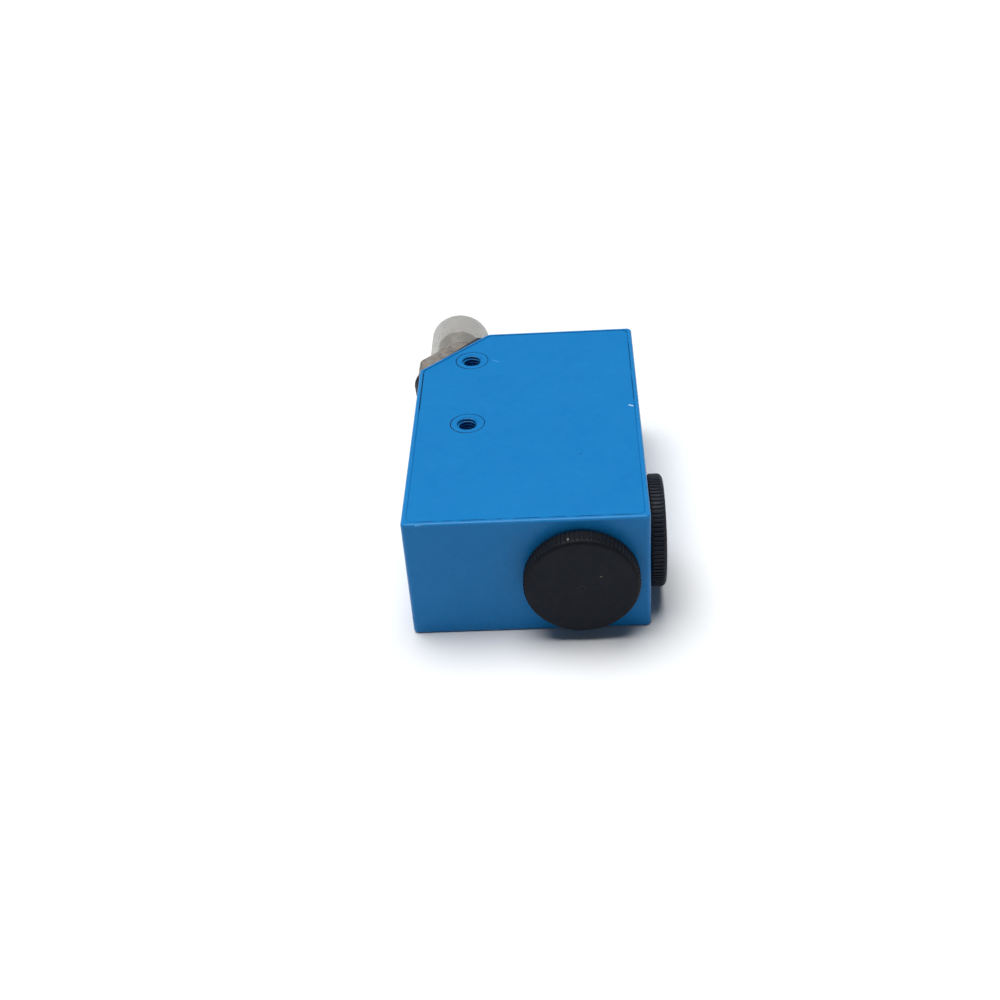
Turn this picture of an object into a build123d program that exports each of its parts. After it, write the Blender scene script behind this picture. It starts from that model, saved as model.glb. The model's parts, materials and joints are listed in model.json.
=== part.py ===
from build123d import *
from math import cos, pi, radians, sin, sqrt
import os

# A contrast sensor in a die-cast housing, in millimetres. +Z points out of the mounting face, +Y to the plug.
# The origin is the centre of the large rest face opposite the mounting face.

# Housing
SIZE_X, SIZE_Y, SIZE_Z = 53.0, 80.0, 30.4
WALL = 2.4
FLOOR = 2.0
CUT_LEG = 16.5           # leg of the 45 degree cut on the plug corner
CORNER_R = 1.2           # upright edges
EDGE_R = 0.6             # edges round the large faces
CAVITY_R = 0.5
MID_Z = SIZE_Z / 2       # height of the optical axes and of the plug
RIGHT, FRONT, REAR, LEFT = SIZE_X / 2, -SIZE_Y / 2, SIZE_Y / 2, -SIZE_X / 2

# Cover plate, let into the mounting face
COVER_INSET = 1.0
COVER_T = 1.6
COVER_GAP = 0.1
COVER_R = 1.5
COVER_BEVEL = 0.15
GASKET_T = 0.4
LEDGE_Z = SIZE_Z - COVER_T - GASKET_T

# Mounting threads M5
MOUNT_X = -13.65
MOUNT_Y = (-1.53, 26.97)
MOUNT_R = 2.5
MOUNT_DEPTH = 5.5
MOUNT_CHAMFER = 0.15
BOSS_R = 3.9
WEB_H = 4.6              # web that ties the rear boss's foot to the cut wall
BOSS_GAP = 0.17          # gap round each boss in the cover plate
BOSS_H = 6.8             # height of the boss that hangs above the swivel

# Type plate in a shallow recess in the rest face
LABEL_AT = (3.0, -4.0)
LABEL_X, LABEL_Y = 38.0, 34.0
LABEL_R, LABEL_T = 1.5, 0.2
LABEL_RECESS = 0.3

# Screw-in caps: the blind cap in front and the lens unit on the right
BLIND_X = 11.5
LENS_Y = -25.0
CAP_R = 12.65
CAP_GAP = 0.3            # between the housing and a cap's underside
BLIND_CAP_T = 4.1
LENS_RING_T = 3.4
KNURL_COUNT = 80
KNURL_DEPTH = 0.28
CAP_ROUND = 1.2          # rounding of the outer rim
CAP_UNDERCUT = 0.4       # bevel of the inner rim
GATE_R, GATE_DEPTH = 0.55, 0.12
NECK_R = 9.9
NECK_L = 4.3
NECK_WALL = 1.8
PORT_R = 10.3
PORT_BOSS_R = 12.3
PORT_DEPTH = 5.4
GROOVE_R = 12.0
GROOVE_DEPTH = 1.2
CAP_SEAL_R, CAP_SEAL_WIRE = 11.12, 0.68
CAP_SEAL_AT = CAP_GAP - CAP_SEAL_WIRE - 0.1
LENS_R = 8.4
LENS_OPENING_R = 7.7
LENS_LIP_T = 1.6         # the ring's lip in front of the lens
LENS_Z = (-0.9, 2.3)     # flat side and crown of the lens
LENS_CURVE_R = 20.0

# Swivel and plug
BASE_W, BASE_H, BASE_T = 24.4, 28.6, 1.0
BASE_TURN = -4.0          # degrees that the base plate sits turned on the cut face
BASE_CORNER_R = 3.0
BASE_CLEAR = 0.05        # between the base plate and the housing, and the swivel block
BLOCK_H = 26.2
BLOCK_CUT = 6.6          # distance of the block's outer bevel from the cut face
BLOCK_PROUD = 0.8        # how far the block's sides stand out past the housing's sides
BLOCK_CORNER_R = 2.4
BLOCK_EDGE_R = 0.9
AXLE_R, AXLE_BORE_R = 6.6, 4.4
AXLE_CLEAR = 0.05
AXLE_END = -4.7
AXLE_BOSS_WALL, AXLE_BOSS_END = 2.6, -3.1
RETAINER_GROOVE = (-4.4, -3.3)
SEAL_GROOVE = (-2.3, -1.0)
GROOVE_CUT = 0.8         # depth of the axle's two grooves
SWIVEL_SEAL_R, SWIVEL_SEAL_WIRE = 6.19, 0.42
PLUG_X = -19.25
THREAD_R = 6.0           # M12
SLEEVE_BORE_R = 4.9
SLEEVE_Y = (39.0, 59.0)
COLLAR_R = 7.2
COLLAR_Y = (41.4, 43.4)
INSERT_Y = (38.3, 50.5)
LEADS_R = 3.2            # passage from the axle's bore to the contact carrier
KEY_END_Y = 57.5
PIN_R, PIN_CIRCLE_R, PIN_END_Y = 0.5, 2.35, 57.8
CAP_OUTER_R, CAP_BORE_R = 7.8, 6.06
CAP_Y = (47.6, 65.0)
CAP_END_T = 1.5
CAP_END_R, CAP_MOUTH_R = 1.3, 0.3

# Optics
OPTICS_X = (-6.0, 20.4)
OPTICS_Y = (-34.2, -9.0)
OPTICS_Z = (4.0, 26.0)
TUNNEL_R = 7.3
SPLITTER = (21.6, 17.0, 1.0)  # width, height and thickness
SUB_BOARD_RECESS = 1.4   # pocket for the emitter and receiver boards in the optics block
SUB_BOARD_H = 17.6
EMITTER_Y = OPTICS_Y[1] - SUB_BOARD_RECESS + 0.1   # soldered faces of the two boards
RECEIVER_X = OPTICS_X[0] + SUB_BOARD_RECESS - 0.1
EAR_Y = (-30.5, -12.0)
EAR_X = -8.4
EAR_T = 2.6
EAR_REACH = 2.8          # half the width of an ear
EAR_POST_R, EAR_SCREW_R = 2.6, 1.15
PILOT_END_Z = FLOOR - 1.2  # bottom of the screws' pilot holes

# Boards
BOARD_T = 1.6
BOARD_Z = 4.0
BOARD_X = (-23.2, 23.2)
BOARD_Y = (-7.0, 31.5)
DISPLAY_Y = 33.2
DISPLAY_T = 1.2
DISPLAY_SCREW_R, DISPLAY_POST_R = 0.75, 1.6
DISPLAY_SCREWS = ((-5.2, 9.0), (21.0, 9.0), (-5.2, 24.4), (21.0, 24.4))
RIBBON_T = 0.25
RIBBON_X = -7.6
BOARD_POST_R, BOARD_SCREW_R = 2.3, 0.9
BOARD_SCREWS = ((-20.8, -4.6), (20.8, -4.6), (20.8, 29.0), (-20.8, 13.0))

# Operating panel in the far short face
PANEL_X = 8.6
PANEL_W, PANEL_H, PANEL_R = 30.0, 20.0, 2.0
PANEL_GAP = 0.1
BUTTON_AT = (2.6, 10.6)  # X and Z of the teach button
BUTTON_R = 3.4
BUTTON_PROUD = 0.8
SELECTOR_AT = (14.8, 10.6)
SELECTOR_R = 3.0
WINDOW_AT = (5.2, 20.0)
WINDOW_SIZE = (20.0, 4.6)
WINDOW_T = 0.95
WINDOW_LEDGE = 0.8       # width of the ledge that the window sits on
CONTROL_GAP = 0.3        # round the button and the selector
BUTTON_FLANGE = 0.8
LAMPS, LAMP_PITCH, LAMP_W = 10, 1.9, 1.2

SWIVEL_AT = Vector(LEFT + CUT_LEG / 2, REAR - CUT_LEG / 2, MID_Z)
OUTWARD = Vector(-1, 1, 0).normalized()
ALONG_CUT = Vector(1, 1, 0).normalized()
SWIVEL = Plane(origin=SWIVEL_AT, x_dir=ALONG_CUT, z_dir=OUTWARD)
BLIND = Plane(origin=(BLIND_X, FRONT, MID_Z), x_dir=(1, 0, 0), z_dir=(0, -1, 0))
LENS = Plane(origin=(RIGHT, LENS_Y, MID_Z), x_dir=(0, 1, 0), z_dir=(1, 0, 0))
PLUG = Plane(origin=(PLUG_X, 0, MID_Z), x_dir=(1, 0, 0), z_dir=(0, 1, 0))


def rod(r, low, high, plane=Plane.XY):
    """A cylinder about the plane's normal, from low to high along it."""
    return plane * Pos(0, 0, low) * Cylinder(r, high - low, align=(Align.CENTER, Align.CENTER, Align.MIN))


def ring(outer, inner, low, high, plane=Plane.XY):
    return rod(outer, low, high, plane) - rod(inner, low - 1, high + 1, plane)


def block(x, y, z):
    """A box given by its low and high values along each axis."""
    low = (Align.MIN, Align.MIN, Align.MIN)
    return Pos(x[0], y[0], z[0]) * Box(x[1] - x[0], y[1] - y[0], z[1] - z[0], align=low)


def o_ring(major, minor, at, plane):
    return plane * Pos(0, 0, at) * Torus(major, minor)


def outline(inset):
    """The housing's plan shape, with its sides moved in by inset."""
    x, y = SIZE_X / 2 - inset, SIZE_Y / 2 - inset
    leg = CUT_LEG - inset * (2 - sqrt(2))
    return make_face(Polyline((-x, -y), (x, -y), (x, y), (-x + leg, y), (-x, y - leg), close=True))


def slab(inset, low, high, corner_r):
    solid = extrude(outline(inset), high - low)
    return Pos(0, 0, low) * fillet(solid.edges().filter_by(Axis.Z), corner_r)


def panel_block(width, height, corner_r, low, high, centre=(PANEL_X, MID_Z)):
    """A rounded block in the far short face, from y = low to y = high."""
    face = Plane(origin=(centre[0], low, centre[1]), x_dir=(1, 0, 0), z_dir=(0, 1, 0))
    return extrude(face * RectangleRounded(width, height, corner_r), high - low)


def upright_axis(at):
    """The plane of a control in the operating panel; its normal is +Y."""
    return Plane(origin=(at[0], 0, at[1]), x_dir=(1, 0, 0), z_dir=(0, 1, 0))


# Housing and cover

def housing_shell():
    body = slab(0, 0, SIZE_Z, CORNER_R)
    body = fillet(body.edges().group_by(Axis.Z)[0] + body.edges().group_by(Axis.Z)[-1], EDGE_R)
    body -= slab(WALL, FLOOR, SIZE_Z + 1, CAVITY_R)
    body -= slab(COVER_INSET, LEDGE_Z, SIZE_Z + 1, COVER_R)
    inside = slab(WALL - 0.2, FLOOR - 0.5, LEDGE_Z, 0.8)
    for plane in (BLIND, LENS):
        body += rod(PORT_BOSS_R, -PORT_DEPTH, -WALL / 2, plane) & inside
    body += rod(AXLE_R + AXLE_BOSS_WALL, AXLE_BOSS_END, -WALL / 2, SWIVEL) & inside
    body += SWIVEL * Pos(0, MID_Z - LEDGE_Z + WEB_H / 2, -5) * Box(2 * BOSS_R, WEB_H, 8) & inside
    for y, low in zip(MOUNT_Y, (FLOOR - 0.5, SIZE_Z - BOSS_H)):
        body += Pos(MOUNT_X, y, 0) * rod(BOSS_R, low, SIZE_Z)
    for x, y in BOARD_SCREWS:
        body += Pos(x, y, 0) * rod(BOARD_POST_R, FLOOR - 0.5, BOARD_Z)
    for y in EAR_Y:
        body += Pos(EAR_X, y, 0) * rod(EAR_POST_R, FLOOR - 0.5, OPTICS_Z[0])
    for y in MOUNT_Y:
        body -= Pos(MOUNT_X, y, 0) * rod(MOUNT_R, SIZE_Z - MOUNT_DEPTH, SIZE_Z + 1)
        body -= Pos(MOUNT_X, y, SIZE_Z - MOUNT_CHAMFER / 2) * Cone(
            MOUNT_R, MOUNT_R + MOUNT_CHAMFER, MOUNT_CHAMFER)
    for plane in (BLIND, LENS):
        body -= rod(PORT_R, -PORT_DEPTH - 1, 1, plane)
        body -= rod(GROOVE_R, -GROOVE_DEPTH, 1, plane)
    body -= rod(AXLE_R + AXLE_CLEAR, AXLE_END - 1, 1, SWIVEL)
    body -= panel_block(PANEL_W, PANEL_H, PANEL_R, REAR - WALL - 1, REAR + 1)
    for x, y in BOARD_SCREWS:
        body -= Pos(x, y, 0) * rod(BOARD_SCREW_R, PILOT_END_Z, BOARD_Z + 1)
    for y in EAR_Y:
        body -= Pos(EAR_X, y, 0) * rod(EAR_SCREW_R, PILOT_END_Z, OPTICS_Z[0] + 1)
    recess = RectangleRounded(LABEL_X + 0.2, LABEL_Y + 0.2, LABEL_R + 0.1)
    body -= extrude(Pos(*LABEL_AT, 0) * recess, LABEL_RECESS)
    return body


def cover_plate():
    plate = slab(COVER_INSET + COVER_GAP, SIZE_Z - COVER_T, SIZE_Z, COVER_R)
    plate = chamfer(plate.edges().group_by(Axis.Z)[-1], COVER_BEVEL)
    for y in MOUNT_Y:
        plate -= Pos(MOUNT_X, y, 0) * rod(BOSS_R + BOSS_GAP, LEDGE_Z, SIZE_Z + 1)
    return plate


def cover_gasket():
    return slab(COVER_INSET + 0.3, LEDGE_Z, LEDGE_Z + GASKET_T, 1.3) - slab(
        WALL - 0.2, LEDGE_Z - 1, SIZE_Z, 0.8)


def type_plate():
    outer_face = LABEL_RECESS - LABEL_T - 0.02
    return extrude(Pos(*LABEL_AT, outer_face) * RectangleRounded(LABEL_X, LABEL_Y, LABEL_R), LABEL_T)


# Screw-in caps

def knurled_flange(plane, thickness):
    """The gripping ring of a cap: straight ridges that run out into the rounding of the outer rim."""
    steps = []
    pitch = 360 / KNURL_COUNT
    for tooth in range(KNURL_COUNT):
        for share, low in ((0.0, True), (0.28, True), (0.45, False), (0.83, False)):
            angle, r = radians((tooth + share) * pitch), CAP_R - KNURL_DEPTH * low
            steps.append((r * cos(angle), r * sin(angle)))
    ridges = extrude(plane * Pos(0, 0, CAP_GAP) * make_face(Polyline(*steps, close=True)), thickness)
    disc = rod(CAP_R, CAP_GAP, CAP_GAP + thickness)
    disc = fillet(disc.edges().group_by(Axis.Z)[-1], CAP_ROUND)
    disc = chamfer(disc.edges().group_by(Axis.Z)[0], CAP_UNDERCUT)
    return ridges & (plane * disc)


def blind_cap():
    front = CAP_GAP + BLIND_CAP_T
    cap = knurled_flange(BLIND, BLIND_CAP_T) + rod(NECK_R, -NECK_L, CAP_GAP + 0.5, BLIND)
    cap -= rod(NECK_R - NECK_WALL, -NECK_L - 1, front - 2 * NECK_WALL, BLIND)
    return cap - rod(GATE_R, front - GATE_DEPTH, front + 1, BLIND)


def lens_ring():
    front = CAP_GAP + LENS_RING_T
    holder = knurled_flange(LENS, LENS_RING_T) + rod(NECK_R, -NECK_L, CAP_GAP + 0.5, LENS)
    holder -= rod(LENS_R + 0.05, -NECK_L - 1, front - LENS_LIP_T, LENS)
    holder -= rod(LENS_OPENING_R, -1, front + 1, LENS)
    return holder - LENS * Pos(0, 0, front - 0.4) * Cone(LENS_OPENING_R, LENS_OPENING_R + 1.0, 0.8)


def objective_lens():
    """Plano-convex, with a cylindrical edge; the curved side faces out."""
    dome = LENS * Pos(0, 0, LENS_Z[1] - LENS_CURVE_R) * Sphere(LENS_CURVE_R)
    return rod(LENS_R, *LENS_Z, LENS) & dome


def lens_retainer():
    retainer = ring(LENS_R, LENS_R - 1.5, -NECK_L + 0.4, LENS_Z[0] - 0.05, LENS)
    slot = LENS * Pos(0, 0, -NECK_L) * Box(2 * LENS_R + 1, 1.2, 2.0)
    return retainer - slot


# Swivel and plug

def base_plate():
    face = SWIVEL * Pos(0, 0, BASE_CLEAR) * Rot(Z=BASE_TURN) * RectangleRounded(BASE_W, BASE_H, BASE_CORNER_R)
    plate = extrude(face, BASE_T)
    return plate - rod(AXLE_R + AXLE_CLEAR, -1, 3, SWIVEL)


def swivel_block():
    """The turning corner piece: a wedge that fills the cut corner, with a hollow axle into the housing."""
    start = BASE_T + 2 * BASE_CLEAR
    side, rear = LEFT - BLOCK_PROUD, REAR + BLOCK_PROUD
    foot = SWIVEL_AT + OUTWARD * start
    bevel = SWIVEL_AT + OUTWARD * BLOCK_CUT
    plan = Polyline(
        (side, foot.Y - (foot.X - side)), (side, bevel.Y - (bevel.X - side)),
        (bevel.X + (rear - bevel.Y), rear), (foot.X + (rear - foot.Y), rear), close=True)
    wedge = Pos(0, 0, MID_Z - BLOCK_H / 2) * extrude(make_face(plan), BLOCK_H)
    bevel_edges = wedge.edges().filter_by(Axis.Z).sort_by(Axis((0, 0, 0), OUTWARD))[-2:]
    wedge = fillet(bevel_edges, BLOCK_CORNER_R)
    wedge = fillet(wedge.edges().group_by(Axis.Z)[0] + wedge.edges().group_by(Axis.Z)[-1], BLOCK_EDGE_R)
    socket = rod(COLLAR_R, SWIVEL_AT.Y, COLLAR_Y[0] - 0.02, PLUG)
    wedge += socket & rod(40, start, 40, SWIVEL)
    wedge += rod(AXLE_R, AXLE_END, start + 1.5, SWIVEL)
    for groove in (RETAINER_GROOVE, SEAL_GROOVE):
        wedge -= ring(AXLE_R + 1, AXLE_R - GROOVE_CUT - 0.05, *groove, SWIVEL)
    wedge -= rod(AXLE_BORE_R, AXLE_END - 1, 2.6, SWIVEL)
    wedge -= rod(LEADS_R, SWIVEL_AT.Y, 50, PLUG) + rod(SLEEVE_BORE_R, INSERT_Y[0] - 0.1, 50, PLUG)
    return wedge - rod(THREAD_R, SLEEVE_Y[0], 50, PLUG)


def swivel_retainer():
    """An open snap ring in the axle's inner groove."""
    low, high = RETAINER_GROOVE[0] + 0.1, RETAINER_GROOVE[1] - 0.1
    circlip = ring(AXLE_R + 1.3, AXLE_R - GROOVE_CUT + 0.05, low, high, SWIVEL)
    opening = Box(6, 3.4, 3)
    return circlip - SWIVEL * Pos(AXLE_R, 0, (low + high) / 2) * opening


def connector_sleeve():
    sleeve = rod(THREAD_R, *SLEEVE_Y, PLUG) + rod(COLLAR_R, *COLLAR_Y, PLUG)
    sleeve = chamfer(sleeve.edges().filter_by(GeomType.CIRCLE).group_by(Axis.Y)[-1], 0.5)
    return sleeve - rod(SLEEVE_BORE_R, 30, SLEEVE_Y[1] + 1, PLUG)


def pin_places():
    """The centre pin and four round it, in the plug's plane."""
    places = [(0.0, 0.0)]
    for quarter in range(4):
        angle = radians(45 + 90 * quarter)
        places.append((PIN_CIRCLE_R * cos(angle), PIN_CIRCLE_R * sin(angle)))
    return places


def connector_insert():
    carrier = rod(SLEEVE_BORE_R - 0.02, *INSERT_Y, PLUG)
    key = block((-0.55, 0.55), (-SLEEVE_BORE_R, -SLEEVE_BORE_R + 1.0), (INSERT_Y[1] - 1, KEY_END_Y))
    carrier += (PLUG * key) & rod(SLEEVE_BORE_R - 0.02, INSERT_Y[0], KEY_END_Y, PLUG)
    for x, y in pin_places():
        carrier -= PLUG * Pos(x, y, 0) * rod(PIN_R, 30, 60)
    return carrier


def contact_pins():
    pins = []
    for x, y in pin_places():
        pin = Pos(x, y, 0) * rod(PIN_R, INSERT_Y[0] - 1.6, PIN_END_Y)
        pins.append(PLUG * chamfer(pin.edges().group_by(Axis.Z)[-1], 0.2))
    return Compound(children=pins)


def dust_cap():
    cup = rod(CAP_OUTER_R, *CAP_Y)
    cup = fillet(cup.edges().group_by(Axis.Z)[-1], CAP_END_R)
    cup = fillet(cup.edges().group_by(Axis.Z)[0], CAP_MOUTH_R)
    cup -= rod(CAP_BORE_R, CAP_Y[0] - 1, CAP_Y[1] - CAP_END_T)
    return PLUG * cup


def bundle(radius, first, corner, last, spread=1.15):
    """Five insulated leads side by side along a path with one bend, which keep their spacing round it."""
    into, out = (corner - first).normalized(), (last - corner).normalized()
    across = into.cross(out).normalized()
    outer_in, outer_out = across.cross(into), across.cross(out)
    leads = []
    for lead in range(5):
        sideways = across * (spread * cos(2 * pi * lead / 5))
        off = spread * sin(2 * pi * lead / 5)
        turn = off * (1 - into.dot(out)) / outer_in.dot(out)
        path = FilletPolyline(
            first + sideways + outer_in * off, corner + sideways + outer_in * off + into * (-turn),
            last + sideways + outer_out * off, radius=radius)
        leads.append(sweep(Plane(origin=path @ 0, z_dir=path % 0) * Circle(0.42), path=path))
    return Compound(children=leads)


def housing_leads():
    start = SWIVEL_AT - OUTWARD * 0.4
    corner = SWIVEL_AT - OUTWARD * 9.0
    return bundle(3.0, start, corner, Vector(corner.X, corner.Y, BOARD_Z + BOARD_T))


def plug_leads():
    start = Vector(PLUG_X, INSERT_Y[0] - 1.7, MID_Z)
    corner = Vector(PLUG_X, SWIVEL_AT.Y + 1.45, MID_Z)
    return bundle(0.6, start, corner, corner - OUTWARD * 1.6, 1.0)


# Optics

def optics_block():
    """The black chassis with two crossing light tunnels and a slot for the splitter."""
    body = block(OPTICS_X, OPTICS_Y, OPTICS_Z)
    body = chamfer(body.edges().filter_by(Axis.Z), 1.0)
    for y in EAR_Y:
        body += block((EAR_X - EAR_REACH, OPTICS_X[0] + 1), (y - EAR_REACH, y + EAR_REACH),
                      (OPTICS_Z[0], OPTICS_Z[0] + EAR_T))
    centre = Pos(BLIND_X, LENS_Y, MID_Z)
    body -= centre * Rot(X=90) * Cylinder(TUNNEL_R, 80)
    body -= centre * Rot(Y=90) * Cylinder(TUNNEL_R, 80)
    slot_x, slot_z, slot_t = SPLITTER
    body -= centre * Rot(Z=-45) * Box(slot_x + 0.2, slot_t + 0.2, slot_z + 0.2)
    rear = (OPTICS_Y[1] - SUB_BOARD_RECESS, OPTICS_Y[1] + 1)
    left = (OPTICS_X[0] - 1, OPTICS_X[0] + SUB_BOARD_RECESS)
    body -= block((BLIND_X - 9, BLIND_X + 8.8), rear, (MID_Z - 9, MID_Z + 9))
    body -= block(left, (LENS_Y - 8, LENS_Y + 8), (MID_Z - 9, MID_Z + 9))
    for y in EAR_Y:
        body -= Pos(EAR_X, y, 0) * rod(EAR_SCREW_R + 0.2, 0, 20)
    return body


def beam_splitter():
    width, height, thick = SPLITTER
    return Pos(BLIND_X, LENS_Y, MID_Z) * Rot(Z=-45) * Box(width, thick, height)


def tunnel_lens(plane, low, sag_r):
    """A small plano-convex lens that fits a light tunnel, its flat side at low."""
    r = TUNNEL_R - 0.02
    return rod(r, low, low + 4, plane) & (plane * Pos(0, 0, low + 3.2 - sag_r) * Sphere(sag_r))


def emitter_plane():
    return Plane(origin=(BLIND_X, EMITTER_Y, MID_Z), x_dir=(1, 0, 0), z_dir=(0, -1, 0))


def receiver_plane():
    return Plane(origin=(RECEIVER_X, LENS_Y, MID_Z), x_dir=(0, 1, 0), z_dir=(1, 0, 0))


def sub_board(plane, width):
    return plane * Pos(0, 0, -BOARD_T / 2) * Box(width, SUB_BOARD_H, BOARD_T)


def emitter_led():
    body = rod(2.9, 0, 1.0, emitter_plane()) + rod(2.5, 0, 2.6, emitter_plane())
    return body + emitter_plane() * Pos(0, 0, 2.6) * Sphere(2.5)


def receiver_diode():
    return receiver_plane() * Pos(0, 0, 0.8) * Box(6, 7, 1.6)


def screw(shank_r, length, head_r, head_h):
    """A pan-head screw with a hexagon socket, pointing down; the underside of its head is at z = 0."""
    body = rod(shank_r, -length, 0) + rod(head_r, 0, head_h)
    return body - Pos(0, 0, head_h * 0.4) * extrude(RegularPolygon(head_r * 0.5, 6), head_h)


def optics_screws():
    top = OPTICS_Z[0] + EAR_T
    return Compound(children=[Pos(EAR_X, y, top) * screw(EAR_SCREW_R, 5.6, 2.1, 1.5) for y in EAR_Y])


# Boards

def main_board():
    board = block(BOARD_X, BOARD_Y, (BOARD_Z, BOARD_Z + BOARD_T)) & slab(WALL + 0.7, 0, SIZE_Z, CAVITY_R)
    board -= Pos(MOUNT_X, MOUNT_Y[0], 0) * rod(BOSS_R + 0.5, 0, 20)
    for x, y in BOARD_SCREWS:
        board -= Pos(x, y, 0) * rod(BOARD_SCREW_R + 0.2, 0, 20)
    return board


def board_screws():
    top = BOARD_Z + BOARD_T
    return Compound(children=[Pos(x, y, top) * screw(BOARD_SCREW_R, 4.4, 1.8, 1.3) for x, y in BOARD_SCREWS])


def board_components():
    """Controller, drivers, regulators and capacitors, soldered to the main board's upper side."""
    top = BOARD_Z + BOARD_T
    parts = [block((-2, 10), (6, 18), (top, top + 1.5)), block((14, 20), (8, 13), (top, top + 1.6))]
    parts += [block((14, 20), (y, y + 4), (top, top + 1.4)) for y in (16, 22)]
    parts += [block((x, x + 2.5), (0, 1.6), (top, top + 1.2)) for x in (-6, -2, 2, 6, 10, 14)]
    parts += [Pos(x, 24.5, 0) * rod(3.1, top, top + 6.5) for x in (0.5, 8.5)]
    parts += [block((x, x + 2.0), (8, 9.2), (top, top + 0.8)) for x in (-22, -18.5, -10)]
    parts.append(block((RIBBON_X + 0.15, RIBBON_X + 1.8), (-5.0, -0.5), (top, 13.0)))
    return Compound(children=parts)


def display_board():
    board = block((-7.0, 22.8), (DISPLAY_Y, DISPLAY_Y + DISPLAY_T), (6.8, 26.4))
    for at in DISPLAY_SCREWS:
        board -= rod(DISPLAY_SCREW_R + 0.15, 30, 40, upright_axis(at))
    return board


def display_screws():
    """Four screws through the board into the posts behind the panel frame."""
    screws = []
    for x, z in DISPLAY_SCREWS:
        inside = Plane(origin=(x, DISPLAY_Y, z), x_dir=(1, 0, 0), z_dir=(0, -1, 0))
        screws.append(inside * screw(DISPLAY_SCREW_R, 2.9, 1.4, 0.9))
    return Compound(children=screws)


def indicator_lamps():
    """A row of ten lamps behind the window; the last is the output lamp."""
    y = DISPLAY_Y + DISPLAY_T
    first = WINDOW_AT[0] - WINDOW_SIZE[0] / 2 + LAMP_W
    lamps = []
    for lamp in range(LAMPS):
        x = first + LAMP_PITCH * lamp
        lamps.append(block((x, x + LAMP_W), (y, y + 0.9), (WINDOW_AT[1] - 0.8, WINDOW_AT[1] + 0.8)))
    return Compound(children=lamps)


def ribbon(points, width, plane):
    """A flat cable: a thin bent strip along points in the plane, extruded by width along its normal."""
    return extrude(plane * trace(Polyline(*points), RIBBON_T), width)


def display_cable():
    top = BOARD_Z + BOARD_T + RIBBON_T / 2 + 0.01
    behind = DISPLAY_Y - RIBBON_T / 2 - 0.01
    side = Plane(origin=(3.5, 0, 0), x_dir=(0, 1, 0), z_dir=(1, 0, 0))
    return ribbon([(28.0, top), (31.8, top), (31.8, 9.0), (behind, 10.4), (behind, 14.0)], 9.0, side)


def emitter_cable():
    top = BOARD_Z + BOARD_T + RIBBON_T / 2 + 0.01
    behind = EMITTER_Y + BOARD_T + RIBBON_T / 2 + 0.01
    side = Plane(origin=(8.0, 0, 0), x_dir=(0, 1, 0), z_dir=(1, 0, 0))
    return ribbon([(behind, 14.0), (behind, 8.0), (-5.4, top), (-1.0, top)], 7.0, side)


def receiver_cable():
    """Stands on edge beside the optics and runs back to its socket on the main board."""
    behind = RECEIVER_X - BOARD_T - RIBBON_T / 2 - 0.01
    path = [(behind, -24.0), (behind, -19.0), (RIBBON_X, -16.5), (RIBBON_X, -1.0)]
    return ribbon(path, 4.0, Plane.XY.offset(9.0))


# Operating panel

def panel_frame():
    width, height = PANEL_W - 2 * PANEL_GAP, PANEL_H - 2 * PANEL_GAP
    plug = panel_block(width, height, PANEL_R, REAR - WALL - 0.1, REAR - 0.1)
    plug = chamfer(plug.edges().group_by(Axis.Y)[-1], 0.25)
    plug += panel_block(PANEL_W + 0.4, PANEL_H + 1.8, PANEL_R, REAR - WALL - 1.4, REAR - WALL - 0.05)
    for at in DISPLAY_SCREWS:
        plug += rod(DISPLAY_POST_R, DISPLAY_Y + DISPLAY_T, REAR - WALL - 1.2, upright_axis(at))
        plug -= rod(DISPLAY_SCREW_R, DISPLAY_Y, REAR - WALL, upright_axis(at))
    plug -= panel_block(*WINDOW_SIZE, 1.0, 30, 45, WINDOW_AT)
    width, height = WINDOW_SIZE[0] + 2 * WINDOW_LEDGE, WINDOW_SIZE[1] + 2 * WINDOW_LEDGE
    plug -= panel_block(width, height, 1.2, REAR - 0.15 - WINDOW_T, 45, WINDOW_AT)
    plug -= rod(BUTTON_R + CONTROL_GAP, 30, 45, upright_axis(BUTTON_AT))
    plug -= rod(SELECTOR_R + CONTROL_GAP, 30, 45, upright_axis(SELECTOR_AT))
    return plug


def panel_window():
    width, height = WINDOW_SIZE[0] + 2 * WINDOW_LEDGE - 0.1, WINDOW_SIZE[1] + 2 * WINDOW_LEDGE - 0.1
    return panel_block(width, height, 1.15, REAR - 0.15 - WINDOW_T, REAR - 0.15, WINDOW_AT)


def light_guide():
    """Clear bars that carry the lamps' light through the frame to the window."""
    size = (WINDOW_SIZE[0] - 0.2, WINDOW_SIZE[1] - 0.2)
    return panel_block(*size, 0.9, DISPLAY_Y + DISPLAY_T + 1.0, REAR - 1.15, WINDOW_AT)


def teach_button():
    axis = upright_axis(BUTTON_AT)
    cap = rod(BUTTON_R, REAR - WALL - 1.9, REAR + BUTTON_PROUD)
    cap = fillet(cap.edges().group_by(Axis.Z)[-1], 0.6)
    cap += rod(BUTTON_R + BUTTON_FLANGE, REAR - WALL - 2.1, REAR - WALL - 1.5)
    return axis * cap


def teach_switch():
    axis = upright_axis(BUTTON_AT)
    y = DISPLAY_Y + DISPLAY_T
    base = axis * Pos(0, 0, y + 0.3) * Box(3.4, 4.2, 0.6)
    return base + rod(0.9, y + 0.5, y + 0.62, axis)


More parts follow.
